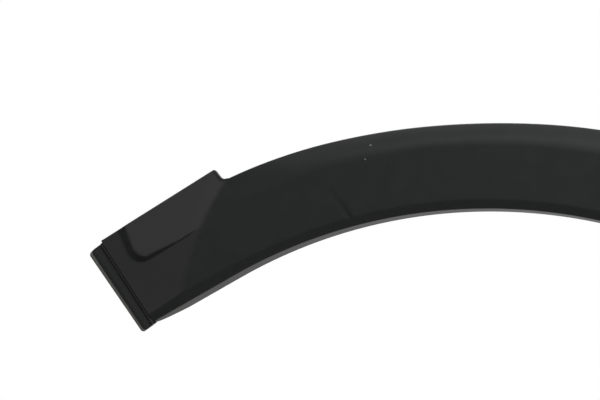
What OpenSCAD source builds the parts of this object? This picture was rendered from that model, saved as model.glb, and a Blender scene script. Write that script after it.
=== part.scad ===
// Wheel arch trim: a moulded channel that wraps round the wheel opening, with a flat end panel
// on its left that laps under the next trim. Its outer face looks to -Y and the car body is at +Y.
// The arch is laid out round the wheel centre and then moved, so that the axis of the clip at the
// crown, at the surface of the body, is the origin.

/* [Wheel opening] */
// Radius of the front lip round the wheel centre
lip_r = 413; // [390:1:440]
// Width of the trim, from the lip to its outer edge
arch_w = 72; // [68:0.5:76]
// How far the outer edge is flattened over the crown
crown_flat = 2.5; // [0:0.1:4]
// Angle from the crown at which that flat has run out
crown_flat_angle = 18; // [10:1:20]
// Angle from the crown to the plain far end
end_angle = 82; // [80:1:90]

/* [Section] */
// Thickness of the moulded wall
wall = 2.6; // [2:0.1:3]
// How far the front lip stands out from the body
lip_d = 12; // [11:0.5:15]
// Depth of the flange that turns in round the wheel opening
flange_d = 25; // [22:0.5:32]
// Width of the bevelled band above the lip
bevel_w = 7; // [4:0.2:8]
// Rise of the bevelled band, outwards from the lip
bevel_rise = 2.6; // [1:0.1:4]
// Further rise of the main face, from the bevelled band to its crease
face_rise = 1.2; // [0:0.1:2]
// Extra rise of the main face at the notch, which eases out towards the crown
face_twist = 1.8; // [0:0.1:2.5]
// Width of the crowned band along the outer edge
crown_w = 21.5; // [18:0.5:24]
// Height of the outer edge above the body, where the crowned band has its full fall
edge_d = 4; // [3.6:0.1:5]
// Share of the crowned band's fall that starts at its crease
crease_share = 0.2; // [0:0.05:0.4]
// Depth of the rim along the outer edge, where it does not reach the body
rim_d = 5; // [4.5:0.5:7]
// Rounding of the lip and of the outer edge
edge_round = 1.4; // [0.6:0.1:1.8]

/* [End panel] */
// Slope of the straight panel, where the lip runs out of its arc
panel_angle = 28.5; // [27.5:0.5:32]
// Width of the panel at the notch, from the lip to its top edge
panel_w = 83.5; // [81:0.5:88]
// Width of the panel at its end
panel_end_w = 82; // [79:0.5:86]
// Straight length of the lip, from the arc to the panel's end
panel_l = 78.5; // [72:0.5:90]
// Skew of the panel's end, away from square
end_skew = 6.6; // [0:0.2:12]
// How far the panel's end stands out from the body, at the lip
end_lip_d = 11; // [10:0.5:12]
// Rise of the bevelled band at the panel's end
end_bevel = 1; // [0.6:0.1:1.4]
// How far the panel's end stands out from the body, at its top edge
end_top_d = 5; // [4.5:0.5:8]
// Depth that is left of the flange at the panel's end
end_flange_d = 7; // [5:0.5:12]
// Angle from the crown to the notch between the arch and the panel
notch_angle = 25; // [23.5:0.25:26]
// Lean of the notch's wall, away from square to the panel
notch_lean = 10; // [0:1:20]
// Rounding of the panel's corner at the notch
corner_round = 2; // [1:0.5:4]
// Rounding at the foot of the notch
notch_round = 3.5; // [2:0.5:5]
// Straight length of the lip, from the arc to the foot of the crescent crease
crease_foot = 50; // [40:1:60]
// Bow of the crescent crease
crease_bow = 7; // [2:0.5:10]

/* [Raised pad] */
// Height of the pad at its near corner
pad_h = 2.6; // [1:0.1:3]
// Gap from the panel's end to the pad, along the top edge
pad_gap = 21; // [15:0.5:26]
// Rounding of the pad's corner
pad_round = 14; // [8:0.5:18]
// Width of the sloped wall at the pad's near end
pad_end_slope = 8; // [5:0.5:10]
// Width of the sloped wall along the pad's lower side, which ends in line with the arch's crease
pad_side_slope = 4; // [3:0.5:6]

/* [Lap strip] */
// Width of the strip that laps under the next trim
strip_w = 11.8; // [8:0.2:14]
// Thickness of the strip
strip_t = 2; // [1.5:0.1:2.4]
// Depth of the strip's face below the panel's face
strip_drop = 1.8; // [1.4:0.1:2.4]
// Width of the narrow ledge between the panel and the strip
ledge_w = 1.8; // [1:0.1:3]
// Depth of the ledge below the panel's face
ledge_drop = 0.8; // [0.5:0.1:1.1]
// Width of the groove between the ledge and the strip
groove_w = 0.9; // [0.6:0.1:1.4]
// Depth of the groove below the strip's face
groove_depth = 0.5; // [0.3:0.1:0.7]
// Extra width of the strip at its top end
strip_flare = 2.4; // [0:0.2:3]
// Width of the bevel along the strip's free edge
strip_bevel = 2; // [0.8:0.1:3]
// Rounding of the strip's corners
strip_round = 3; // [1:0.5:4]
// How far the strip reaches below the panel's lip
strip_over = 1.7; // [0.5:0.1:3]
// How far the strip stays short of the panel's top edge
strip_short = 2; // [1:0.5:5]

/* [Witness mark] */
// Angle from the crown to the middle of the mark in the main face
mark_angle = 14.4; // [13:0.2:16]
// Lean of the mark against the radius
mark_lean = 21; // [0:1:25]
// Length of the mark
mark_l = 31; // [16:1:34]
// Width of the mark at its lower end
mark_w = 3.6; // [2:0.1:5]
// Depth of the mark at its lower end
mark_depth = 0.5; // [0.2:0.1:0.8]

/* [Clips] */
// Number of clips round the arch
clip_n = 9; // [6:1:9]
// Angle between clips
clip_step = 12; // [11:0.1:12.1]
// Distance of the clips from the lip
clip_line = 38; // [36:0.5:38]
// Diameter of the clip's stem
stem_d = 7.6; // [6:0.1:8.4]
// Plain length of the stem, from the body's surface
stem_plain = 6; // [4:0.5:8]
// Length of the stem beyond the body's surface
stem_l = 14; // [12:0.5:18]
// Diameter of the clip's head and collar
head_d = 14.5; // [13:0.5:14.5]
// Thickness of the clip's head and collar
head_t = 1.6; // [1.2:0.1:1.8]
// Diameter of the clip's neck, in the slot
neck_d = 6; // [4.5:0.1:6.5]
// Clearance round the clip's neck and head, and inside the sealing ring
clip_clear = 0.15; // [0.05:0.05:0.3]
// Depth of the barbs' notches in the stem
barb_depth = 1; // [0.6:0.1:1.4]
// Thickness of the sealing ring
seal_t = 2.4; // [1.5:0.1:2.6]
// How far the sealing ring reaches past the collar
seal_rim = 1; // [0.5:0.1:1.4]
// Depth of the groove in the stem that the sealing ring sits in
seal_seat = 0.3; // [0.2:0.1:0.5]

/* [Clip towers] */
// Clearance between the clip's head and the tower's walls
tower_gap = 0.45; // [0.3:0.05:0.8]
// Thickness of the tower's walls and top
tower_wall = 1.8; // [1.4:0.1:2]
// Draft of the tower's walls, from its top to the skin
tower_draft = 0.7; // [0.2:0.1:1]

/* [Ribs] */
// Thickness of the ribs
rib_t = 1.6; // [1.2:0.1:2.4]
// Width of the gussets at the skin, from the lip
rib_w = 24; // [14:0.5:25]
// How far the gussets stay short of the flange's edge
rib_short = 2; // [1:0.5:4]

/* [Far end] */
// Recess of the plate that closes the far end
end_recess = 1; // [0.5:0.1:3]

/* [Hidden] */

plastic_black = [0.16, 0.17, 0.17];
nylon_white = [0.86, 0.86, 0.82];
rubber_black = [0.08, 0.08, 0.09];

outer_r = lip_r + arch_w;
skin_d = lip_d + bevel_rise;
face_end = arch_w - crown_w;
pad_side = face_end - pad_side_slope;
datum = [0, 0, lip_r + clip_line];

// Small helpers
function mix(a, b, s) = a + (b - a) * s;
function clamp01(s) = min(1, max(0, s));
function ease(s) = let (c = clamp01(s)) c * c * (3 - 2 * c);
function bend(a, b, c, s) = mix(mix(a, b, s), mix(b, c, s), s);
function steps(a, b, n) = [for (i = [0:n - 1]) mix(a, b, i / n)];
function reversed(v) = [for (i = [len(v) - 1:-1:0]) v[i]];
function dir(a) = [sin(a), cos(a)];
function angle_of(pt) = atan2(pt[0], pt[1]);
function arc_angle(l, r) = l / r * 180 / PI;

// Plan of the trim, as [x, z] round the wheel centre
along = [cos(panel_angle), sin(panel_angle)];
across = [-sin(panel_angle), cos(panel_angle)];
arc_end = lip_r * dir(-panel_angle);
function panel_point(p, q) = arc_end + p * along + q * across;
function panel_p(pt) = (pt - arc_end) * along;
function panel_q(pt) = (pt - arc_end) * across;
function lip_point(l) = l < 0 ? arc_end + l * along : lip_r * dir(arc_angle(l, lip_r) - panel_angle);
function edge_r(a) = outer_r - crown_flat * pow(cos(90 * min(1, abs(a) / crown_flat_angle)), 2);
function edge_point(a) = edge_r(a) * dir(a);

end_foot = panel_point(-panel_l, 0);
end_top = panel_point(-panel_l - panel_end_w * tan(end_skew), panel_end_w);
notch_foot = edge_point(-notch_angle);
notch_rise = panel_w - panel_q(notch_foot);
corner = panel_point(panel_p(notch_foot) - notch_rise * tan(notch_lean), panel_w);
top_dir = (corner - end_top) / norm(corner - end_top);
notch_dir = (notch_foot - corner) / norm(notch_foot - corner);
top_l = norm(corner - end_top);
rim_l = top_l + norm(notch_foot - corner);

// A column is one line across the trim: [lip end, outer end, bow, share of the way from the
// panel's end to the crescent crease, width square to the lip, angle from the crown]
function panel_column(s, outer) =
    let (f = clamp01(s / rim_l))
    [mix(end_foot, lip_point(-crease_foot), f), outer, crease_bow * f, f, panel_q(outer), -notch_angle];

pad_from = pad_gap - 2;
pad_to = pad_gap + pad_end_slope + 7;
panel_stations = concat(
    steps(0, pad_from, 3),
    steps(pad_from, pad_to, 7),
    steps(pad_to, top_l - corner_round, 7));
corner_a = corner - corner_round * top_dir;
corner_b = corner + corner_round * notch_dir;
foot_a = notch_foot - notch_round * notch_dir;
foot_b = edge_point(-notch_angle + arc_angle(notch_round, outer_r));
panel_columns = concat(
    [for (s = panel_stations) panel_column(s, mix(end_top, corner, s / top_l))],
    [for (k = [0, 0.5, 1])
        panel_column(top_l + (2 * k - 1) * corner_round, bend(corner_a, corner, corner_b, k))],
    [panel_column(rim_l - notch_round, foot_a), panel_column(rim_l, bend(foot_a, notch_foot, foot_b, 0.5))]);

// Between the crescent crease and the first radial column, the columns swing round
swing_angle = -20;
swing_n = 6;
swing_l = (panel_angle + swing_angle) / 180 * PI * lip_r;
swing_columns = [for (k = [0:swing_n - 1])
    let (
        f = (k + 1) / (swing_n + 1),
        a = mix(angle_of(foot_b), swing_angle, k / swing_n),
        outer = edge_point(a))
    [lip_point(mix(-crease_foot, swing_l, f)), outer, crease_bow * (1 - ease(f)), 1, arch_w, a]];

function radial_column(a) = [lip_r * dir(a), edge_point(a), 0, 1, edge_r(a) - lip_r, a];
function radial_columns(a, b, step) =
    let (n = ceil((b - a) / step)) [for (i = [0:n - 1]) radial_column(mix(a, b, i / n))];
columns = concat(
    panel_columns,
    swing_columns,
    radial_columns(swing_angle, -8, 2),
    radial_columns(-8, end_angle, 3),
    [radial_column(end_angle)]);

// Width along a column at a width v square to the lip, and the plan point there
function col_l(c) = norm(c[1] - c[0]);
function plan(c, v) =
    let (t = v / c[4], d = (c[1] - c[0]) / col_l(c))
    mix(c[0], c[1], t) + 4 * t * (1 - t) * c[2] * [-d[1], d[0]];

// Depth of the front face, negative outwards
function fall_share(a) = ease((a + notch_angle) / 15);
function twist_share(a) = 1 - ease((a + notch_angle) / 35);
function crown(s) = crease_share * s + (1 - crease_share) * (1 - cos(62 * s)) / (1 - cos(62));
function arch_y(v, full_v, a) =
    let (
        crease_d = skin_d + face_rise + face_twist * twist_share(a),
        band_s = (v - face_end) / (full_v - face_end))
    v < bevel_w ? -lip_d - bevel_rise * v / bevel_w :
    v < face_end ? -mix(skin_d, crease_d, (v - bevel_w) / (face_end - bevel_w)) :
    -crease_d + (crease_d - edge_d) * fall_share(a) * crown(band_s);
end_skin_d = end_lip_d + end_bevel;
function end_y(v, full_v) =
    v < bevel_w ? -end_lip_d - end_bevel * v / bevel_w :
    mix(-end_skin_d, -end_top_d, (v - bevel_w) / (full_v - bevel_w));

// Raised pad, in line with the columns and fading out at the crescent crease
function pad_raise(c, v) =
    let (
        s = c[3] * rim_l,
        left = clamp01((rim_l - s) / (rim_l - pad_gap)),
        dx = pad_round - (s - pad_gap) * mix(0.25, 1, v / c[4]),
        dy = pad_round - (v - pad_side),
        inside = pad_round - (dx > 0 && dy > 0 ? norm([dx, dy]) : max(dx, dy)),
        slope_w = mix(pad_side_slope * max(left, 0.3), pad_end_slope, clamp01(dx / pad_round)))
    pad_h * left * ease(inside / slope_w);

function front_y(c, v) =
    c[3] == 1 ? arch_y(v, c[4], c[5]) :
    mix(end_y(v, c[4]), arch_y(v, c[4], c[5]), c[3]) - pad_raise(c, v);
function back_y(c, v) =
    let (h = 0.4, slope = (front_y(c, min(v + h, c[4])) - front_y(c, v - h)) / 2 / h)
    front_y(c, v) + wall * sqrt(1 + slope * slope);
function flange_y(c) = mix(end_flange_d - end_lip_d, flange_d - lip_d, sqrt(c[3]));
function rim_y(c) = min(0, front_y(c, c[4]) + rim_d);

// Rows along a column, as widths from the lip; the last face rows follow the pad's lower wall
face_rows = concat(steps(bevel_w, pad_side, 4), [for (i = [0:4]) mix(pad_side, face_end, i / 4)]);
back_rows = [bevel_w, mix(bevel_w, pad_side, 0.5), pad_side, face_end];
function crown_rows(c, edge, n) = [for (i = [1:n]) mix(face_end, c[4] - edge, i / n)];

// Outline of the section at a column, as [v, y]: the outside, and the inside
function outer_line(c) =
    let (full_v = c[4], lip = [0, front_y(c, 0)], rim = [full_v, front_y(c, full_v)])
    concat(
        [[0, flange_y(c)]],
        [for (k = [0, 0.5, 1])
            bend(lip + [0, edge_round], lip, [edge_round, front_y(c, edge_round)], k)],
        [for (v = concat(face_rows, crown_rows(c, edge_round, 5))) [v, front_y(c, v)]],
        [for (k = [0.5, 1])
            bend([full_v - edge_round, front_y(c, full_v - edge_round)], rim, rim + [0, edge_round], k)],
        [[full_v, rim_y(c)]]);
function inner_line(c) =
    concat(
        [[wall, flange_y(c)], [wall, back_y(c, wall)]],
        [for (v = concat(back_rows, crown_rows(c, wall, 3))) [v, back_y(c, v)]],
        [[c[4] - wall, rim_y(c)]]);

// A solid lofted through rings of points, with flat ends
module loft(rings) {
    m = len(rings[0]);
    n = len(rings);
    sides = [for (i = [0:n - 2], j = [0:m - 1])
        let (a = i * m + j, b = i * m + (j + 1) % m)
        each [[a, b, b + m], [a, b + m, a + m]]];
    caps = [[for (j = [m - 1:-1:0]) j], [for (j = [0:m - 1]) (n - 1) * m + j]];
    polyhedron([for (r = rings) each r], concat(sides, caps));
}

// Skin with its flange and rim
module skin() {
    loft([for (c = columns)
        [for (p = concat(outer_line(c), reversed(inner_line(c))))
            let (xz = plan(c, p[0])) [xz[0], p[1], xz[1]]]]);
}

// Lap strip along the panel's end: a ledge, a groove and a face with a bevelled free edge
end_dir = (end_top - end_foot) / norm(end_top - end_foot);
strip_foot = -strip_over;
strip_top = norm(end_top - end_foot) - strip_short;
strip_root = wall / 2;
function strip_edge(w) =
    let (
        near = min(w - strip_foot, strip_top - w),
        k = clamp01(1 - near / strip_round))
    strip_w + strip_flare * (w - strip_foot) / (strip_top - strip_foot) - strip_round * (1 - sqrt(1 - k * k));
function strip_ring(w) =
    let (
        far = strip_edge(w),
        bevel = strip_bevel * mix(0.5, 1, (w - strip_foot) / (strip_top - strip_foot)),
        groove = ledge_w + groove_w,
        top_y = mix(-end_skin_d, -end_top_d, w / strip_top),
        line = [
            [-strip_root, ledge_drop], [ledge_w, ledge_drop],
            [ledge_w, strip_drop + groove_depth], [groove, strip_drop + groove_depth],
            [groove, strip_drop], [far - bevel, strip_drop],
            [far, strip_drop + strip_t * 0.6], [far, strip_drop + strip_t],
            [-strip_root, strip_drop + strip_t]])
    [for (p = line)
        let (xz = end_foot + w * end_dir + p[0] * [-end_dir[1], end_dir[0]])
        [xz[0], top_y + p[1], xz[1]]];
strip_ends = [for (k = [0:5]) strip_round * (1 - cos(18 * k))];
strip_stations = concat(
    [for (h = strip_ends) strip_foot + h],
    [for (i = [5:-1:0]) strip_top - strip_ends[i]]);

module lap_strip() {
    loft([for (w = strip_stations) strip_ring(w)]);
}

// Local frame at an angle round the arch: X is the width from the lip, Y the depth, Z along the arc
module at_angle(a) {
    rotate([0, a - 90, 0])
        translate([lip_r, 0, 0])
            children();
}

// Turns a shape built up Z so that it stands on the skin and points at the body
module to_body() {
    rotate([-90, 0, 0])
        children();
}

// The third clip is at the crown
function clip_angle(i) = (i - 2) * clip_step;

// Depths of the clip and its seat, from the body's surface outwards
collar_y = -seal_t - head_t;
tower_top = collar_y;
tower_w = head_d + 2 * (tower_gap + tower_wall);
slot_w = neck_d + 2 * clip_clear;
seal_seat_r = stem_d / 2 - seal_seat;

// Middle of the skin's wall, which the ribs and towers reach into
function mid_y(c, v) = mix(front_y(c, v), back_y(c, v), 0.5);
function root(a) = mid_y(radial_column(a), clip_line);

// Block with a square top, wider at its foot by the draft
module drafted(w, foot_y, top_y) {
    foot_w = w + 2 * tower_draft;
    hull() {
        translate([-foot_w / 2, foot_y, -foot_w / 2])
            cube([foot_w, 0.1, foot_w]);
        translate([-w / 2, top_y - 0.1, -w / 2])
            cube([w, 0.1, w]);
    }
}

// Hollow tower with a keyhole slot, open on the side that the clip's head slides in from
module clip_tower(root_y) {
    inner_w = tower_w - 2 * tower_wall;
    inner_top = tower_top - tower_wall;
    difference() {
        drafted(tower_w, root_y, tower_top);
        drafted(inner_w, root_y - 1, inner_top);
        translate([-inner_w / 2, root_y - 1, 0])
            cube([inner_w, inner_top - root_y + 1, tower_w]);
        translate([0, tower_top + 1, 0])
            rotate([90, 0, 0])
                cylinder(d = slot_w, h = tower_wall + 2, $fn = 32);
        translate([-slot_w / 2, inner_top - 1, 0])
            cube([slot_w, tower_wall + 2, tower_w]);
    }
}

module gusset(a) {
    c = radial_column(a);
    points = [
        [wall / 2, flange_y(c) - rib_short],
        [wall / 2, mid_y(c, wall)],
        [bevel_w, mid_y(c, bevel_w)],
        [rib_w, mid_y(c, rib_w)],
        [rib_w, mid_y(c, rib_w) + wall + 1]];
    translate([0, 0, -rib_t / 2])
        linear_extrude(rib_t)
            polygon(points);
}

// Plate that closes the far end, recessed a little into it
module end_wall() {
    c = radial_column(end_angle);
    points = concat(
        [[wall / 2, flange_y(c) - 1], [wall / 2, mid_y(c, wall)]],
        [for (v = concat(back_rows, crown_rows(c, wall, 3))) [v, mid_y(c, v)]],
        [[c[4] - wall / 2, -0.5], [2 * wall, -0.5], [2 * wall, flange_y(c) - 1]]);
    translate([0, 0, end_recess])
        linear_extrude(wall)
            polygon(points);
}

// Shallow mark in the main face, which fades out at its top
module witness_mark() {
    c = radial_column(-mark_angle);
    foot_v = bevel_w - 1;
    rise = mark_l * cos(mark_lean);
    mark_r = (mark_w * mark_w / 4 + mark_depth * mark_depth) / 2 / mark_depth;
    foot_y = front_y(c, foot_v) - mark_r + mark_depth;
    top_y = front_y(c, foot_v + rise) - mark_r;
    at_angle(-mark_angle)
        translate([foot_v, foot_y, -mark_l * sin(mark_lean) / 2])
            rotate([0, 90 - mark_lean, 0])
                rotate([asin((foot_y - top_y) / mark_l), 0, 0])
                    cylinder(r = mark_r, h = mark_l + 2, $fn = 36);
}

module arch_moulding() {
    color(plastic_black)
        translate(-datum)
            union() {
                difference() {
                    skin();
                    witness_mark();
                }
                lap_strip();
                for (i = [0:clip_n - 1])
                    at_angle(clip_angle(i))
                        translate([clip_line, 0, 0])
                            clip_tower(root(clip_angle(i)));
                for (i = [0:2 * clip_n - 1])
                    at_angle(clip_angle(i / 2))
                        gusset(clip_angle(i / 2));
                at_angle(end_angle)
                    end_wall();
            }
}

module retaining_clip() {
    head_y = collar_y - tower_wall - clip_clear;
    stem_r = stem_d / 2;
    barb_step = (stem_l - stem_plain) / 4;
    profile = concat(
        [[0, head_y - head_t], [head_d / 2, head_y - head_t], [head_d / 2, head_y], [neck_d / 2, head_y],
            [neck_d / 2, collar_y], [head_d / 2, collar_y], [head_d / 2, -seal_t],
            [seal_seat_r, -seal_t], [seal_seat_r, 0], [stem_r, 0]],
        [for (i = [0:2])
            let (y = stem_plain + barb_step * i)
            each [
                [stem_r, y], [stem_r - barb_depth, y + 0.2],
                [stem_r - barb_depth, y + 0.6], [stem_r, y + barb_step - 0.3]]],
        [[stem_r, stem_plain + barb_step * 3], [stem_r * 0.4, stem_l], [0, stem_l]]);
    to_body()
        rotate_extrude($fn = 48)
            polygon(profile);
}

module clip_seal() {
    to_body()
        translate([0, 0, -seal_t])
            difference() {
                cylinder(d = head_d + 2 * seal_rim, h = seal_t, $fn = 48);
                translate([0, 0, -1])
                    cylinder(r = seal_seat_r + clip_clear, h = seal_t + 2, $fn = 48);
            }
}

module at_clips() {
    translate(-datum)
        for (i = [0:clip_n - 1])
            at_angle(clip_angle(i))
                translate([clip_line, 0, 0])
                    children();
}

module retaining_clips() {
    color(nylon_white)
        at_clips()
            retaining_clip();
}

module clip_seals() {
    color(rubber_black)
        at_clips()
            clip_seal();
}

arch_moulding();
retaining_clips();
clip_seals();
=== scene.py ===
from math import atan2, ceil, cos, degrees, hypot, pi, radians, sin, sqrt, tan

import bmesh
import bpy
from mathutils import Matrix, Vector


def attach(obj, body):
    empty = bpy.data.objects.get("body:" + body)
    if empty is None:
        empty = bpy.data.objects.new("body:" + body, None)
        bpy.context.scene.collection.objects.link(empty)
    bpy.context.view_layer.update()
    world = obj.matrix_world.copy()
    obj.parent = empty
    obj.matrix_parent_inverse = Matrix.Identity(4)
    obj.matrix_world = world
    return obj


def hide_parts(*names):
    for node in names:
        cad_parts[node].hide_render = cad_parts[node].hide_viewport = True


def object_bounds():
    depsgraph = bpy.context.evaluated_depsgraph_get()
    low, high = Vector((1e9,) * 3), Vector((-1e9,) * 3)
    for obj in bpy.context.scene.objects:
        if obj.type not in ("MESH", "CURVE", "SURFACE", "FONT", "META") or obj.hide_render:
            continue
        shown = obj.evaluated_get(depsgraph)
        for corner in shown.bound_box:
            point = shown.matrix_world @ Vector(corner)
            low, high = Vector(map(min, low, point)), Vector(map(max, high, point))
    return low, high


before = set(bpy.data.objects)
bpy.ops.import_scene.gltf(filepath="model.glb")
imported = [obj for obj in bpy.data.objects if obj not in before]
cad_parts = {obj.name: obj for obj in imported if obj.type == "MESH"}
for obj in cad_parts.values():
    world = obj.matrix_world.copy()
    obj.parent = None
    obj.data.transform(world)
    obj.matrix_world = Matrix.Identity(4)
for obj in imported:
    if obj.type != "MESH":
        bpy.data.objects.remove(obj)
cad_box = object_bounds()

# The moulding is lofted again from the section of its CAD node, finer, with soft creases and with
# small changes towards the photograph. Sizes are in millimetres round the wheel centre and angles
# in degrees, until place() puts a point into the frame.
MM = 0.001

# Arch
LIP_R = 413.0
ARCH_W = 72.0
CROWN_FLAT = 2.6
CROWN_FLAT_ANGLE = 18.0
END_ANGLE = 82.0
WALL = 2.6
LIP_D = 12.0
FLANGE_D = 25.0
BEVEL_W = 7.0
BEVEL_RISE = 2.6
FACE_RISE = 1.2
FACE_TWIST = 1.8
FACE_TWIST_ANGLE = 35.0
CROWN_W = 21.5
CROWN_CURVE = 62.0
CROWN_START_ANGLE = 15.0
EDGE_D = 4.0
CREASE_SHARE = 0.2
RIM_D = 5.0
EDGE_ROUND = 1.4

# Flat end panel and notch
PANEL_ANGLE = 28.5
PANEL_W = 83.5
PANEL_END_W = 82.0
PANEL_L = 77.0
END_SKEW = 6.6
END_LIP_D = 11.0
END_BEVEL = 1.0
END_TOP_D = 5.0
END_FLANGE_D = 7.0
NOTCH_ANGLE = 25.0
NOTCH_LEAN = 10.0
CORNER_ROUND = 2.0
NOTCH_ROUND = 5.5
CREASE_FOOT = 50.0
CREASE_BOW = 7.0

# Raised pad
PAD_H = 2.6
PAD_GAP = 15.7
PAD_ROUND = 17.0
PAD_LIP_SHARE = 0.25
PAD_END_SLOPE = 16.0
PAD_SIDE_SLOPE = 7.0
PAD_SIDE_LEAST = 0.3
PAD_SIDE_GAP = 4.8
PAD_TOP_SHARE = 0.35

# Lap strip
STRIP_LOW = -1.7
STRIP_HIGH_GAP = 2.0
STRIP_W = 13.2
STRIP_T = 2.0
STRIP_DROP = 1.8
STRIP_FLARE = 2.4
STRIP_BEVEL = 3.2
STRIP_BEVEL_SHARE = 0.8
STRIP_ROUND = 3.0
STRIP_SOFT = 0.35
ROOT_W = 0.35
ROOT_DEPTH = 0.5
LEDGE_W = 2.2
LEDGE_DROP = 0.35
GROOVE_W = 0.9
GROOVE_DEPTH = 0.5

# Witness mark
MARK_ANGLE = 14.6
MARK_LEAN = 21.0
MARK_L = 31.0
MARK_W = 5.2
MARK_DEPTH = 0.5
MARK_OVERLAP = 1.0
MARK_START = 1.5

# Clip towers, gussets and end wall
CLIP_N = 9
CROWN_CLIP = 2
CLIP_STEP = 12.0
CLIP_LINE = 38.0
TOWER_W = 19.0
TOWER_WALL = 1.8
TOWER_DRAFT = 0.7
TOWER_TOP = -4.0
SLOT_W = 6.3
RIB_T = 1.6
RIB_W = 24.0
RIB_GAP = 2.0
RIB_TOP = 1.0
END_RECESS = 1.0
END_WALL_GAP = 1.0
END_WALL_Y = -0.5

OUTER_R = LIP_R + ARCH_W
SKIN_D = LIP_D + BEVEL_RISE
FACE_END = ARCH_W - CROWN_W
PAD_SIDE = FACE_END - PAD_SIDE_GAP
DATUM_Z = LIP_R + CLIP_LINE


# Small helpers

def mix(a, b, s):
    return a + (b - a) * s


def mix2(a, b, s):
    return (mix(a[0], b[0], s), mix(a[1], b[1], s))


def clamp01(s):
    return min(1.0, max(0.0, s))


def ease(s):
    c = clamp01(s)
    return c * c * (3 - 2 * c)


def arched(t):
    """0 at both ends and 1 in the middle."""
    return 4 * t * (1 - t)


def bend2(a, b, c, s):
    return mix2(mix2(a, b, s), mix2(b, c, s), s)


def steps(a, b, n):
    return [mix(a, b, i / n) for i in range(n)]


def polar(r, angle):
    return (r * sin(radians(angle)), r * cos(radians(angle)))


def apart(a, b):
    return hypot(b[0] - a[0], b[1] - a[1])


def toward(a, b):
    d = apart(a, b)
    return ((b[0] - a[0]) / d, (b[1] - a[1]) / d)


def shift(pt, direction, d):
    return (pt[0] + direction[0] * d, pt[1] + direction[1] * d)


def place(x, y, z):
    return (x * MM, y * MM, (z - DATUM_Z) * MM)


# Plan of the trim, as (x, z), with p along the panel and q across it

ALONG = (cos(radians(PANEL_ANGLE)), sin(radians(PANEL_ANGLE)))
ACROSS = (-ALONG[1], ALONG[0])
ARC_END = polar(LIP_R, -PANEL_ANGLE)


def panel_point(p, q):
    return (ARC_END[0] + p * ALONG[0] + q * ACROSS[0], ARC_END[1] + p * ALONG[1] + q * ACROSS[1])


def panel_p(pt):
    return (pt[0] - ARC_END[0]) * ALONG[0] + (pt[1] - ARC_END[1]) * ALONG[1]


def panel_q(pt):
    return (pt[0] - ARC_END[0]) * ACROSS[0] + (pt[1] - ARC_END[1]) * ACROSS[1]


def lip_point(along):
    if along < 0:
        return panel_point(along, 0)
    return polar(LIP_R, degrees(along / LIP_R) - PANEL_ANGLE)


def edge_point(angle):
    share = min(1.0, abs(angle) / CROWN_FLAT_ANGLE)
    return polar(OUTER_R - CROWN_FLAT * cos(pi / 2 * share) ** 2, angle)


END_FOOT = panel_point(-PANEL_L, 0)
END_TOP = panel_point(-PANEL_L - PANEL_END_W * tan(radians(END_SKEW)), PANEL_END_W)
NOTCH_FOOT = edge_point(-NOTCH_ANGLE)
NOTCH_RISE = PANEL_W - panel_q(NOTCH_FOOT)
CORNER = panel_point(panel_p(NOTCH_FOOT) - NOTCH_RISE * tan(radians(NOTCH_LEAN)), PANEL_W)
TOP_DIR = toward(END_TOP, CORNER)
NOTCH_DIR = toward(CORNER, NOTCH_FOOT)
NOTCH_WALL_END = shift(NOTCH_FOOT, NOTCH_DIR, -NOTCH_ROUND)
TOP_L = apart(END_TOP, CORNER)
RIM_L = TOP_L + apart(CORNER, NOTCH_FOOT)


class Column:
    """One line across the trim, from the lip to the outer edge."""

    def __init__(self, foot, outer, bow, share, width, angle):
        self.foot, self.outer, self.bow = foot, outer, bow
        self.share, self.width, self.angle = share, width, angle

    def plan(self, v):
        t = v / self.width
        d = toward(self.foot, self.outer)
        x, z = mix2(self.foot, self.outer, t)
        lift = arched(t) * self.bow
        return (x - d[1] * lift, z + d[0] * lift)


def panel_column(s, outer):
    f = clamp01(s / RIM_L)
    foot = mix2(END_FOOT, lip_point(-CREASE_FOOT), f)
    return Column(foot, outer, CREASE_BOW * f, f, panel_q(outer), -NOTCH_ANGLE)


def radial_column(angle):
    outer = edge_point(angle)
    return Column(polar(LIP_R, angle), outer, 0, 1, hypot(*outer) - LIP_R, angle)


# Columns, closer together than in the CAD node, and closest at the witness mark

PANEL_STEP = 1.3
CORNER_STEPS = 8
NOTCH_STEPS = 3
SWING_ANGLE = -20.0
SWING_N = 26
RADIAL_STEP = 0.8
MARK_REACH = 1.6
MARK_STEP = 0.1


def panel_columns():
    """Along the panel's outer edge, round its corner and down to the start of the notch's foot."""
    top_end = TOP_L - CORNER_ROUND
    out = []
    for s in steps(0, top_end, ceil(top_end / PANEL_STEP)):
        out.append(panel_column(s, mix2(END_TOP, CORNER, s / TOP_L)))
    a, b = shift(CORNER, TOP_DIR, -CORNER_ROUND), shift(CORNER, NOTCH_DIR, CORNER_ROUND)
    for i in range(CORNER_STEPS + 1):
        k = i / CORNER_STEPS
        out.append(panel_column(TOP_L + (2 * k - 1) * CORNER_ROUND, bend2(a, CORNER, b, k)))
    wall_from, wall_to = TOP_L + CORNER_ROUND, RIM_L - NOTCH_ROUND
    for s in steps(wall_from, wall_to, NOTCH_STEPS)[1:]:
        t = (s - wall_from) / (wall_to - wall_from)
        out.append(panel_column(s, mix2(b, NOTCH_WALL_END, t)))
    return out


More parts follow.
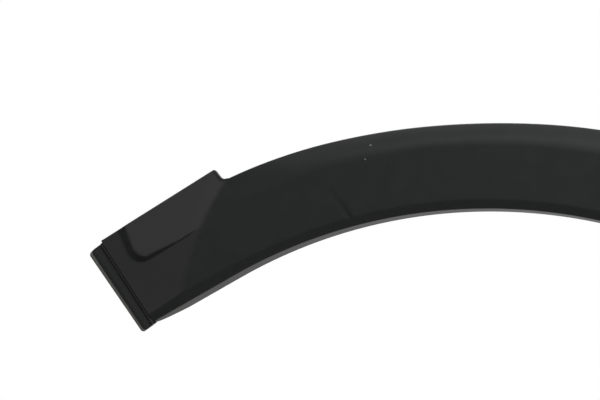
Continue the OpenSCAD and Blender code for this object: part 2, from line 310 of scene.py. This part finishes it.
def foot_columns():
    """Round the foot of the notch, and then swinging from the crease's line to a radial one."""
    foot_angle = -NOTCH_ANGLE + degrees(NOTCH_ROUND / OUTER_R)
    arch_start = edge_point(foot_angle)
    out = []
    for i in range(CORNER_STEPS // 2 + 1):
        k = i / CORNER_STEPS
        s = mix(RIM_L - NOTCH_ROUND, RIM_L, 2 * k)
        out.append(panel_column(s, bend2(NOTCH_WALL_END, NOTCH_FOOT, arch_start, k)))
    swing_l = radians(PANEL_ANGLE + SWING_ANGLE) * LIP_R
    for k in range(SWING_N):
        f = (k + 1) / (SWING_N + 1)
        angle = mix(foot_angle, SWING_ANGLE, k / SWING_N)
        foot = lip_point(mix(-CREASE_FOOT, swing_l, f))
        out.append(Column(foot, edge_point(angle), CREASE_BOW * (1 - ease(f)), 1, ARCH_W, angle))
    return out


def radial_columns():
    stops = (SWING_ANGLE, -MARK_ANGLE - MARK_REACH, -MARK_ANGLE + MARK_REACH, END_ANGLE)
    angles = []
    for a, b, step in zip(stops, stops[1:], (RADIAL_STEP, MARK_STEP, RADIAL_STEP)):
        angles += steps(a, b, ceil((b - a) / step))
    return [radial_column(angle) for angle in angles + [END_ANGLE]]


# Depth of the front face, negative outwards

def crown(s):
    top = radians(CROWN_CURVE)
    return CREASE_SHARE * s + (1 - CREASE_SHARE) * (1 - cos(top * s)) / (1 - cos(top))


def arch_y(v, width, angle):
    past_notch = angle + NOTCH_ANGLE
    crease_d = SKIN_D + FACE_RISE + FACE_TWIST * (1 - ease(past_notch / FACE_TWIST_ANGLE))
    if v < BEVEL_W:
        return -LIP_D - BEVEL_RISE * v / BEVEL_W
    if v < FACE_END:
        return -mix(SKIN_D, crease_d, (v - BEVEL_W) / (FACE_END - BEVEL_W))
    fall = (crease_d - EDGE_D) * ease(past_notch / CROWN_START_ANGLE)
    return -crease_d + fall * crown((v - FACE_END) / (width - FACE_END))


def end_y(v, width):
    if v < BEVEL_W:
        return -END_LIP_D - END_BEVEL * v / BEVEL_W
    return mix(-END_LIP_D - END_BEVEL, -END_TOP_D, (v - BEVEL_W) / (width - BEVEL_W))


def pad_left(c):
    """How much of the pad's height is left: all at its end, and none at the crease."""
    return clamp01((RIM_L - c.share * RIM_L) / (RIM_L - PAD_GAP))


def pad_side(c):
    """Where the column meets the pad's side, which runs straight although the column bows."""
    d = toward(c.foot, c.outer)
    t = PAD_SIDE / c.width
    return PAD_SIDE - arched(t) * c.bow * (d[0] * ACROSS[1] - d[1] * ACROSS[0])


def pad_cover(c, v):
    """1 on the pad's top, 0 off the pad, and between them on its walls."""
    s = c.share * RIM_L
    dx = PAD_ROUND - (s - PAD_GAP) * mix(PAD_LIP_SHARE, 1, v / c.width)
    dy = PAD_ROUND - (v - pad_side(c))
    inside = PAD_ROUND - (hypot(dx, dy) if dx > 0 and dy > 0 else max(dx, dy))
    side_slope = PAD_SIDE_SLOPE * max(pad_left(c), PAD_SIDE_LEAST)
    return ease(inside / mix(side_slope, PAD_END_SLOPE, clamp01(dx / PAD_ROUND)))


def pad_raise(c, v):
    lean = mix(1, PAD_TOP_SHARE, clamp01((v - FACE_END) / (c.width - FACE_END)))
    return PAD_H * pad_left(c) * lean * pad_cover(c, v)


def sharp_y(c, v):
    if c.share == 1:
        return arch_y(v, c.width, c.angle)
    return mix(end_y(v, c.width), arch_y(v, c.width, c.angle), c.share) - pad_raise(c, v)


# The creases are rounded by averaging the depth over a short width

SOFT = 0.7
SOFT_N = 4
SLOPE_REACH = 0.4


def front_y(c, v):
    reach = min(SOFT, v, c.width - v)
    total = sum(sharp_y(c, v + reach * k / SOFT_N) for k in range(-SOFT_N, SOFT_N + 1))
    return total / (2 * SOFT_N + 1)


def back_y(c, v):
    rise = sharp_y(c, min(v + SLOPE_REACH, c.width)) - sharp_y(c, v - SLOPE_REACH)
    slope = rise / 2 / SLOPE_REACH
    return sharp_y(c, v) + WALL * sqrt(1 + slope * slope)


def mid_y(c, v):
    return (sharp_y(c, v) + back_y(c, v)) / 2


def flange_y(c):
    return mix(END_FLANGE_D - END_LIP_D, FLANGE_D - LIP_D, sqrt(c.share))


def rim_y(c):
    return min(0.0, sharp_y(c, c.width) + RIM_D)


# Outline of the section at a column, as (v, y), with v from the lip to the outer edge

FLANGE_STEPS = 4
ROUND_STEPS = 6
CREASE = 1.2
CREASE_ROWS = 6
BEVEL_ROWS = 5
FACE_ROWS = 34
PAD_SIDE_ROWS = 7
BAND_ROWS = 26
BACK_ROWS = (3, 9, 4, 10)


def face_rows(c):
    side = pad_side(c) if c.share < 1 else PAD_SIDE
    out = steps(EDGE_ROUND, BEVEL_W - CREASE, BEVEL_ROWS)[1:]
    out += steps(BEVEL_W - CREASE, BEVEL_W + CREASE, CREASE_ROWS)
    out += steps(BEVEL_W + CREASE, side, FACE_ROWS)
    out += steps(side, FACE_END - CREASE, PAD_SIDE_ROWS)
    out += steps(FACE_END - CREASE, FACE_END + CREASE, CREASE_ROWS)
    return out + steps(FACE_END + CREASE, c.width - EDGE_ROUND, BAND_ROWS)


def rounded(a, b, c):
    return [bend2(a, b, c, k / ROUND_STEPS) for k in range(ROUND_STEPS + 1)]


def outer_line(c):
    w = c.width
    lip, rim = (0, front_y(c, 0)), (w, front_y(c, w))
    lip_low, rim_low = (0, lip[1] + EDGE_ROUND), (w, rim[1] + EDGE_ROUND)
    lip_in, rim_in = (EDGE_ROUND, front_y(c, EDGE_ROUND)), (w - EDGE_ROUND, front_y(c, w - EDGE_ROUND))
    out = [(0, y) for y in steps(flange_y(c), lip_low[1], FLANGE_STEPS)]
    out += rounded(lip_low, lip, lip_in)
    out += [(v, front_y(c, v)) for v in face_rows(c)]
    return out + rounded(rim_in, rim, rim_low) + [(w, rim_y(c))]


def inner_line(c):
    far = c.width - WALL
    out = [(WALL, flange_y(c)), (WALL, mix(flange_y(c), back_y(c, WALL), 0.5))]
    stops = (WALL, BEVEL_W, PAD_SIDE, FACE_END, far)
    for a, b, n in zip(stops, stops[1:], BACK_ROWS):
        out += [(v, back_y(c, v)) for v in steps(a, b, n)]
    return out + [(far, back_y(c, far)), (far, rim_y(c))]


# The witness mark is pressed into the front of the fine mesh

def mark_depth(x, z):
    angle, v = degrees(atan2(x, z)), hypot(x, z) - LIP_R
    side = radians(angle + MARK_ANGLE) * LIP_R
    lean = radians(MARK_LEAN)
    rise = MARK_L * cos(lean)
    up = v - BEVEL_W + MARK_OVERLAP - rise / 2
    s = (up * cos(lean) - side * sin(lean)) / MARK_L + 0.5
    off = (up * sin(lean) + side * cos(lean)) / (MARK_W / 2)
    if not 0 <= s <= 1 or abs(off) >= 1:
        return 0.0
    return MARK_DEPTH * clamp01(1 - s) * (1 - off * off) * ease(s * MARK_L / MARK_START)


# Tones of painted light and shade: 1 on the pad, less on the panel, 0 on the arch, and below 0 where
# painted shade darkens it

PANEL_PAINTED_LIGHT = 0.42
TONE_FADE_LOW = 9.0
TONE_FADE_HIGH = 4.5
CREASE_SHIFT = 2.0
# Painted shade on the pad's walls, the notch's edge, the lip's bevel and the witness mark, with its spread
# and strength
WALL_SPREAD = 14.0
WALL_GROWTH = 8.0
WALL_PAINTED_SHADE = 1.0
NOTCH_SPREAD = 3.0
NOTCH_PAINTED_SHADE = 0.6
BEVEL_FADE = 2.0
BEVEL_PAINTED_SHADE = 0.4
MARK_PAINTED_SHADE = 0.6
CREASE_LINE = panel_column(RIM_L, NOTCH_FOOT)


def past_crease(x, z):
    """Distance beyond the crescent crease, towards the arch, and the share of its height."""
    foot, d = CREASE_LINE.foot, toward(CREASE_LINE.foot, CREASE_LINE.outer)
    dx, dz = x - foot[0], z - foot[1]
    t = clamp01((dx * d[0] + dz * d[1]) / apart(foot, CREASE_LINE.outer))
    return dx * d[1] - dz * d[0] + arched(t) * CREASE_LINE.bow, t


# The pad and panel are painted lighter as painted light, fading out across the crescent crease; below 0
# the tone is painted shade
def painted_shading_at(c, v, x, z):
    bevel = 1 - ease((v - BEVEL_W) / BEVEL_FADE + 0.5)
    past, t = past_crease(x, z)
    if past > TONE_FADE_LOW:
        return -max(BEVEL_PAINTED_SHADE * bevel, MARK_PAINTED_SHADE * mark_depth(x, z) / MARK_DEPTH)
    cover = pad_cover(c, v)
    wall = clamp01(WALL_SPREAD * cover * (1 - cover) ** 2) * min(1.0, WALL_GROWTH * pad_left(c))
    past_corner = clamp01((c.share * RIM_L - TOP_L) / CORNER_ROUND)
    notch = past_corner * (1 - ease((c.width - v) / NOTCH_SPREAD))
    fade = 1 - ease((past - CREASE_SHIFT * t) / mix(TONE_FADE_LOW, TONE_FADE_HIGH, t) + 0.5)
    # The strongest painted shade of the pad's walls, the notch's edge and the lip's bevel
    dark = max(WALL_PAINTED_SHADE * wall, NOTCH_PAINTED_SHADE * notch, BEVEL_PAINTED_SHADE * bevel)
    return mix(PANEL_PAINTED_LIGHT, 1.0, cover) * (1 - wall) * (1 - notch) * (1 - bevel) * fade - dark


def skin_rings():
    rings, tones = [], []
    for c in panel_columns() + foot_columns() + radial_columns():
        ring = []
        for v, y in outer_line(c):
            x, z = c.plan(v)
            if 0 < v < FACE_END:
                y += mark_depth(x, z)
            ring.append(place(x, y, z))
            tones.append(painted_shading_at(c, v, x, z))
        for v, y in reversed(inner_line(c)):
            x, z = c.plan(v)
            ring.append(place(x, y, z))
            tones.append(0.0)
        rings.append(ring)
    return rings, tones


# Lap strip, lofted along the panel's end from the lip to the outer edge, with tones of painted shadow,
# painted light and a painted highlight

STRIP_END_STEPS = 10
STRIP_STEPS = 20
STRIP_STEP_GAP = 1.0
# Painted shadow in the root and the groove, painted light on the ledge, face and chamfer, painted shade
# along their edges, and a painted highlight on the free edge
STRIP_PAINTED_SHADOW = -1.0
STRIP_PAINTED_HIGHLIGHT = 1.0
LEDGE_PAINTED_LIGHT = 0.4
LEDGE_EDGE_PAINTED_SHADE = -0.3
FLAT_PAINTED_LIGHT = 0.3
FLAT_EDGE_PAINTED_SHADE = -0.4
CHAMFER_PAINTED_LIGHT = 0.5


def strip_line(far, bevel):
    """The strip's section, as place across it, depth below the panel, and tone of painted light and shade.
    """
    groove, soft = LEDGE_W + GROOVE_W, STRIP_SOFT
    root_d, groove_d, back_d = LEDGE_DROP + ROOT_DEPTH, STRIP_DROP + GROOVE_DEPTH, STRIP_DROP + STRIP_T
    return [
        (-WALL / 2, root_d, STRIP_PAINTED_SHADOW),
        (ROOT_W, root_d, STRIP_PAINTED_SHADOW),
        (ROOT_W + soft, LEDGE_DROP, LEDGE_PAINTED_LIGHT),
        (LEDGE_W - soft, LEDGE_DROP, LEDGE_PAINTED_LIGHT),
        (LEDGE_W, LEDGE_DROP + soft, LEDGE_EDGE_PAINTED_SHADE),
        (LEDGE_W + soft / 2, groove_d, STRIP_PAINTED_SHADOW),
        (groove - soft / 2, groove_d, STRIP_PAINTED_SHADOW),
        (groove, STRIP_DROP + soft / 2, 0),
        (groove + soft, STRIP_DROP, FLAT_PAINTED_LIGHT),
        (mix(groove, bevel, 0.5), STRIP_DROP, FLAT_PAINTED_LIGHT),
        (bevel - soft, STRIP_DROP, FLAT_EDGE_PAINTED_SHADE),
        (bevel, STRIP_DROP + soft / 3, CHAMFER_PAINTED_LIGHT),
        (far - soft / 3, back_d - soft, STRIP_PAINTED_HIGHLIGHT),
        (far, back_d, STRIP_PAINTED_HIGHLIGHT),
        (-WALL / 2, back_d, 0)]


def strip_rings():
    d = toward(END_FOOT, END_TOP)
    low, high = STRIP_LOW, apart(END_FOOT, END_TOP) - STRIP_HIGH_GAP
    turns = [radians(90 * k / STRIP_END_STEPS) for k in range(STRIP_END_STEPS + 1)]
    ends = [STRIP_ROUND * (1 - cos(turn)) for turn in turns]
    inset = STRIP_ROUND + STRIP_STEP_GAP
    stations = [low + h for h in ends] + steps(low + inset, high - inset, STRIP_STEPS)
    stations += [high - h for h in reversed(ends)]
    rings, tones = [], []
    for w in stations:
        share = (w - low) / (high - low)
        k = clamp01(1 - min(w - low, high - w) / STRIP_ROUND)
        far = STRIP_W + STRIP_FLARE * share - STRIP_ROUND * (1 - sqrt(1 - k * k))
        bevel = far - STRIP_BEVEL * mix(STRIP_BEVEL_SHARE, 1, share)
        top_y = mix(-END_LIP_D - END_BEVEL, -END_TOP_D, w / high)
        ring = []
        for u, drop, tone in strip_line(far, bevel):
            x, z = END_FOOT[0] + w * d[0] - u * d[1], END_FOOT[1] + w * d[1] + u * d[0]
            ring.append(place(x, top_y + drop, z))
            tones.append(tone)
        rings.append(ring)
    return rings, tones


# Parts at the back, each at an angle round the arch

SLOT_TURN = 12
END_WALL_ROWS = 6


def at_angle(angle, v, y, side):
    """A point by its angle, width from the lip, depth, and distance along the arc."""
    a = radians(angle)
    r = LIP_R + v
    return place(r * sin(a) - side * cos(a), y, r * cos(a) + side * sin(a))


def clip_angle(i):
    return (i - CROWN_CLIP) * CLIP_STEP


def outward(s, grow):
    return s + grow * (1 if s > 0 else -1)


def slab(outline_low, outline_high):
    """A closed prism between two outlines with the same number of corners."""
    n = len(outline_low)
    faces = [tuple(range(n - 1, -1, -1)), tuple(range(n, 2 * n))]
    faces += [(i, (i + 1) % n, n + (i + 1) % n, n + i) for i in range(n)]
    return list(outline_low) + list(outline_high), faces


def tower_parts(angle):
    foot_y = mid_y(radial_column(angle), CLIP_LINE)
    half, inner = TOWER_W / 2, TOWER_W / 2 - TOWER_WALL
    plate_y = TOWER_TOP - TOWER_WALL

    def ring(corners, y, grow):
        return [at_angle(angle, CLIP_LINE + outward(x, grow), y, outward(s, grow)) for x, s in corners]

    def wall_between(corners):
        return slab(ring(corners, foot_y, TOWER_DRAFT), ring(corners, plate_y, 0))

    parts = [
        wall_between([(-half, -half), (half, -half), (half, -inner), (-half, -inner)]),
        wall_between([(-half, -inner), (-inner, -inner), (-inner, half), (-half, half)]),
        wall_between([(inner, -inner), (half, -inner), (half, half), (inner, half)])]
    r = SLOT_W / 2
    arc = [(r * cos(radians(t)), -r * sin(radians(t))) for t in range(0, 181, SLOT_TURN)]
    plate = [(half, -half), (half, half), (r, half)] + arc + [(-r, half), (-half, half), (-half, -half)]
    parts.append(slab(ring(plate, plate_y, 0), ring(plate, TOWER_TOP, 0)))
    return parts


def gusset_parts(angle):
    c = radial_column(angle)
    line = [
        (WALL / 2, flange_y(c) - RIB_GAP), (WALL / 2, mid_y(c, WALL)), (BEVEL_W, mid_y(c, BEVEL_W)),
        (RIB_W, mid_y(c, RIB_W)), (RIB_W, mid_y(c, RIB_W) + WALL + RIB_TOP)]
    sides = [[at_angle(angle, v, y, s) for v, y in line] for s in (-RIB_T / 2, RIB_T / 2)]
    return [slab(*sides)]


def end_wall_parts():
    c = radial_column(END_ANGLE)
    top_y = flange_y(c) - END_WALL_GAP
    across = steps(BEVEL_W, FACE_END, END_WALL_ROWS) + steps(FACE_END, c.width - WALL, END_WALL_ROWS)
    line = [(WALL / 2, top_y), (WALL / 2, mid_y(c, WALL))] + [(v, mid_y(c, v)) for v in across]
    line += [(c.width - WALL / 2, END_WALL_Y), (2 * WALL, END_WALL_Y), (2 * WALL, top_y)]
    sides = [[at_angle(END_ANGLE, v, y, s) for v, y in line] for s in (END_RECESS, END_RECESS + WALL)]
    return [slab(*sides)]


# Material helpers

CLOUD_EDGES = (0.35, 0.65)
NOISE_DETAIL = 4.0
GRAIN_HEIGHT = 0.0002


def new_material(name, colour, roughness, specular):
    material = bpy.data.materials.new(name)
    material.use_nodes = True
    shader = material.node_tree.nodes["Principled BSDF"]
    shader.inputs["Base Color"].default_value = (*colour, 1)
    shader.inputs["Roughness"].default_value = roughness
    shader.inputs["Specular IOR Level"].default_value = specular
    return material, shader


def noise(tree, scale):
    coordinates = tree.nodes.new("ShaderNodeTexCoord")
    node = tree.nodes.new("ShaderNodeTexNoise")
    node.inputs["Scale"].default_value = scale
    node.inputs["Detail"].default_value = NOISE_DETAIL
    tree.links.new(coordinates.outputs["Object"], node.inputs["Vector"])
    return node.outputs["Fac"]


def calculated(tree, operation, source, value):
    """The result of an operation on a source and either a number or a second source."""
    node = tree.nodes.new("ShaderNodeMath")
    node.operation = operation
    tree.links.new(source, node.inputs[0])
    if isinstance(value, float):
        node.inputs[1].default_value = value
    else:
        tree.links.new(value, node.inputs[1])
    return node.outputs["Value"]


def ranged(tree, source, source_range, result_range):
    node = tree.nodes.new("ShaderNodeMapRange")
    node.inputs["From Min"].default_value, node.inputs["From Max"].default_value = source_range
    node.inputs["To Min"].default_value, node.inputs["To Max"].default_value = result_range
    tree.links.new(source, node.inputs["Value"])
    return node.outputs["Result"]


def blended(tree, factor, source, colour):
    blend = tree.nodes.new("ShaderNodeMix")
    blend.data_type = "RGBA"
    tree.links.new(factor, blend.inputs["Factor"])
    tree.links.new(source, blend.inputs["A"])
    blend.inputs["B"].default_value = (*colour, 1)
    return blend.outputs["Result"]


def clouded(tree, scale, low, high):
    """A colour that wanders between two others in soft clouds."""
    ramp = tree.nodes.new("ShaderNodeValToRGB")
    for element, position, colour in zip(ramp.color_ramp.elements, CLOUD_EDGES, (low, high)):
        element.position = position
        element.color = (*colour, 1)
    tree.links.new(noise(tree, scale), ramp.inputs["Fac"])
    return ramp.outputs["Color"]


def vary(material, shader, scale, low, high):
    tree = material.node_tree
    tree.links.new(clouded(tree, scale, low, high), shader.inputs["Base Color"])


def add_grain(material, shader, scale, strength):
    tree = material.node_tree
    bump = tree.nodes.new("ShaderNodeBump")
    bump.inputs["Strength"].default_value = strength
    bump.inputs["Distance"].default_value = GRAIN_HEIGHT
    tree.links.new(noise(tree, scale), bump.inputs["Height"])
    tree.links.new(bump.outputs["Normal"], shader.inputs["Normal"])


def mixed_painted_shading(tree, source, light, dark):
    """Mixes in painted light by the tones above 0, and painted shade by those below."""
    tone = tree.nodes.new("ShaderNodeAttribute")
    tone.attribute_name = "painted_shading"
    above = tone.outputs["Fac"]
    below = calculated(tree, "MULTIPLY", above, -1.0)
    return blended(tree, below, blended(tree, above, source, light), dark)


def front_point(angle, r):
    c = radial_column(angle)
    x, z = polar(r, angle)
    return place(x, front_y(c, r - LIP_R), z)


def dusted(tree, source, specks, colour):
    """Adds specks, each an angle, a distance from the wheel centre and a radius in metres."""
    coordinates = tree.nodes.new("ShaderNodeTexCoord")
    for angle, r, radius in specks:
        distance = tree.nodes.new("ShaderNodeVectorMath")
        distance.operation = "DISTANCE"
        distance.inputs[1].default_value = front_point(angle, r)
        tree.links.new(coordinates.outputs["Object"], distance.inputs[0])
        spot = calculated(tree, "LESS_THAN", distance.outputs["Value"], radius)
        source = blended(tree, spot, source, colour)
    return source


# Materials, with base colours for the arch, a lighter one for the painted light on the pad and panel, and
# a darker one for painted shade in the darkest places

BLACK_ROUGHNESS = 0.38
BLACK_SPECULAR = 0.12
ARCH_BLACK = ((0.0138, 0.015, 0.0145), (0.0158, 0.017, 0.0165))
PAINTED_LIGHT_BLACK = (0.038, 0.0375, 0.0375)
# Base colour of the painted shade
PAINTED_SHADE_BLACK = (0.006, 0.0066, 0.0065)
BLACK_CLOUDS = 60.0
DUST = ((-10.28, 473.4, 0.0008), (-10.99, 462.5, 0.0006))
DUST_COLOUR = (0.16, 0.17, 0.16)

black, black_shader = new_material("grained_black", (0.02, 0.02, 0.02), BLACK_ROUGHNESS, BLACK_SPECULAR)
black_tree = black.node_tree
add_grain(black, black_shader, 1900.0, 0.25)
# The arch's clouds, with painted light and painted shade mixed in by the tone
clouds_and_painted_shading = mixed_painted_shading(black_tree, clouded(black_tree, BLACK_CLOUDS, *ARCH_BLACK), PAINTED_LIGHT_BLACK, PAINTED_SHADE_BLACK)
black_tree.links.new(dusted(black_tree, clouds_and_painted_shading, DUST, DUST_COLOUR), black_shader.inputs["Base Color"])


def new_smooth(name, low, high, roughness, specular):
    """The finish without grain, where the moulding turns away from the front."""
    material, shader = new_material(name, low, roughness, specular)
    vary(material, shader, BLACK_CLOUDS, low, high)
    add_grain(material, shader, 900.0, 0.05)
    return material


smooth_flange = new_smooth("smooth_flange", (0.019, 0.0195, 0.018), (0.024, 0.0245, 0.022), 0.38, 0.13)
# The strip's free edge gets a lighter base colour as a painted highlight
edge_painted_highlight = new_smooth("edge_painted_highlight", (0.05, 0.051, 0.042), (0.062, 0.063, 0.048), 0.25, 1.0)

nylon, nylon_shader = new_material("natural_nylon", (0.7, 0.7, 0.65), 0.42, 0.5)
vary(nylon, nylon_shader, 220.0, (0.66, 0.655, 0.6), (0.72, 0.715, 0.67))
add_grain(nylon, nylon_shader, 900.0, 0.08)
seal_rubber, rubber_shader = new_material("seal_rubber", (0.025, 0.025, 0.027), 0.75, 0.3)
vary(seal_rubber, rubber_shader, 300.0, (0.02, 0.02, 0.022), (0.034, 0.034, 0.036))
add_grain(seal_rubber, rubber_shader, 2600.0, 0.3)

for node, material in (("retaining_clips", nylon), ("clip_seals", seal_rubber)):
    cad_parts[node].data.materials.clear()
    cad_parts[node].data.materials.append(material)


# Pieces, with the rows of their sections that have the smooth finish

FLANGE_ROWS = range(-2, 5)
# Rows of the strip's free edge, which carry the painted highlight
STRIP_EDGE_ROWS = range(11, 14)
SKIN_SHARP = 32
PART_SHARP = 20


def loft(rings):
    m = len(rings[0])
    faces = []
    for i in range(len(rings) - 1):
        for j in range(m):
            a, b = i * m + j, i * m + (j + 1) % m
            faces.append((a, b, b + m, a + m))
    faces.append(tuple(range(m - 1, -1, -1)))
    last = (len(rings) - 1) * m
    faces.append(tuple(range(last, last + m)))
    return [p for ring in rings for p in ring], faces


def joined(parts):
    verts, faces = [], []
    for part_verts, part_faces in parts:
        faces += [tuple(len(verts) + k for k in f) for f in part_faces]
        verts += part_verts
    return verts, faces


def add_piece(name, verts, faces, smooth_angle):
    """A black piece that stands for the moulding, with its edges sharp past an angle."""
    mesh = bpy.data.meshes.new(name)
    mesh.from_pydata(verts, [], faces)
    shell = bmesh.new()
    shell.from_mesh(mesh)
    bmesh.ops.recalc_face_normals(shell, faces=shell.faces)
    shell.to_mesh(mesh)
    shell.free()
    mesh.shade_smooth()
    mesh.set_sharp_from_angle(angle=radians(smooth_angle))
    obj = bpy.data.objects.new(name, mesh)
    bpy.context.scene.collection.objects.link(obj)
    obj.data.materials.append(black)
    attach(obj, "root")
    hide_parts("arch_moulding")
    return obj


def add_toned(name, rings, tones, smooth_angle, smooth, smooth_rows):
    """A lofted piece with its tones of painted light and shade, and a smooth finish on some rows of its
    section, which on the strip's edge also carries a painted highlight.
    """
    piece = add_piece(name, *loft(rings), smooth_angle)
    piece.data.attributes.new("painted_shading", "FLOAT", "POINT").data.foreach_set("value", tones)
    piece.data.materials.append(smooth)
    m = len(rings[0])
    for i in range(len(rings) - 1):
        for j in smooth_rows:
            piece.data.polygons[i * m + j % m].material_index = 1


add_toned("moulding_skin", *skin_rings(), SKIN_SHARP, smooth_flange, FLANGE_ROWS)
add_toned("lap_strip", *strip_rings(), PART_SHARP, edge_painted_highlight, STRIP_EDGE_ROWS)
hidden = end_wall_parts()
for i in range(CLIP_N):
    hidden += tower_parts(clip_angle(i))
for i in range(2 * CLIP_N):
    hidden += gusset_parts(clip_angle(i / 2))
add_piece("towers_and_gussets", *joined(hidden), PART_SHARP)


# Floor, just under the lowest point of the far leg

FLOOR_SIZE = 14.0
FLOOR_GAP = 0.0005
floor_z = cad_box[0][2] - FLOOR_GAP
corners = ((-1, -1), (1, -1), (1, 1), (-1, 1))
floor_mesh = bpy.data.meshes.new("floor")
floor_mesh.from_pydata([(x * FLOOR_SIZE, y * FLOOR_SIZE, floor_z) for x, y in corners], [], [(0, 1, 2, 3)])
floor = bpy.data.objects.new("floor", floor_mesh)
bpy.context.scene.collection.objects.link(floor)


def seen(tree):
    """1 where something is seen, or seen in a gloss or through glass, and 0 elsewhere."""
    path = tree.nodes.new("ShaderNodeLightPath")
    source = path.outputs["Is Camera Ray"]
    for name in ("Is Glossy Ray", "Is Transmission Ray"):
        source = calculated(tree, "MAXIMUM", source, path.outputs[name])
    return source


# The floor is plain near the part, where it takes the shadow, and fades to the white background

FLOOR_FADE = (1.0, 4.0)
FLOOR_WHITE = 0.9
pale, pale_shader = new_material("pale_floor", (0.74, 0.74, 0.74), 0.9, 0.0)
vary(pale, pale_shader, 3.0, (0.72, 0.72, 0.715), (0.75, 0.75, 0.75))
pale_shader.inputs["Emission Color"].default_value = (1, 1, 1, 1)
pale_tree = pale.node_tree
far_off = pale_tree.nodes.new("ShaderNodeVectorMath")
far_off.operation = "LENGTH"
pale_tree.links.new(pale_tree.nodes.new("ShaderNodeTexCoord").outputs["Object"], far_off.inputs[0])
faded = ranged(pale_tree, far_off.outputs["Value"], FLOOR_FADE, (0.0, FLOOR_WHITE))
white = calculated(pale_tree, "MULTIPLY", faded, seen(pale_tree))
pale_tree.links.new(white, pale_shader.inputs["Emission Strength"])
floor_mesh.materials.append(pale)


# World: white where it is seen, or seen in a gloss or through glass, and soft light for the rest

SOFT_LIGHT = 0.15
world = bpy.data.worlds.new("studio")
bpy.context.scene.world = world
world.use_nodes = True
sky = world.node_tree
background = sky.nodes["Background"]
background.inputs["Color"].default_value = (1, 1, 1, 1)
sky.links.new(ranged(sky, seen(sky), (0.0, 1.0), (SOFT_LIGHT, 1.0)), background.inputs["Strength"])


# Lamps

AIM = (-0.1, 0.0, 0.0)
BOX = (1.0, 0.7)
WIDE_BOX = (1.4, 1.0)


def add_softbox(name, place_at, size, power):
    lamp = bpy.data.lights.new(name, "AREA")
    lamp.shape = "RECTANGLE"
    lamp.size, lamp.size_y = size
    lamp.energy = power
    obj = bpy.data.objects.new(name, lamp)
    obj.location = place_at
    obj.rotation_euler = (Vector(AIM) - Vector(place_at)).to_track_quat("-Z", "Y").to_euler()
    bpy.context.scene.collection.objects.link(obj)


add_softbox("high_right", (0.9, -0.42, 0.75), BOX, 27.5)
add_softbox("over_front", (-0.1, -0.9, 1.3), BOX, 4.0)
add_softbox("over_back", (0.1, 1.6, 1.1), WIDE_BOX, 9.0)


# Camera, at the photograph's angle and distance

CAMERA_AIM = (-140.0, -24.0, 421.7)
CAMERA_AZIMUTH = 12.0
CAMERA_ELEVATION = -6.0
CAMERA_DISTANCE = 1600.0
FOCAL_PX = 2000.0
IMAGE_W = 600.0
SENSOR_MM = 36.0
azimuth, elevation = radians(CAMERA_AZIMUTH), radians(CAMERA_ELEVATION)
back = Vector((sin(azimuth) * cos(elevation), -cos(azimuth) * cos(elevation), sin(elevation)))
camera_data = bpy.data.cameras.new("camera")
camera_data.sensor_width = SENSOR_MM
camera_data.lens = SENSOR_MM * FOCAL_PX / IMAGE_W
camera_data.clip_start = 0.05
camera_data.clip_end = 50.0
camera = bpy.data.objects.new("camera", camera_data)
camera.location = Vector(place(*CAMERA_AIM)) + back * CAMERA_DISTANCE * MM
camera.rotation_euler = (-back).to_track_quat("-Z", "Y").to_euler()
bpy.context.scene.collection.objects.link(camera)
bpy.context.scene.camera = camera
bpy.context.scene.view_settings.view_transform = "Standard"

bpy.context.view_layer.update()
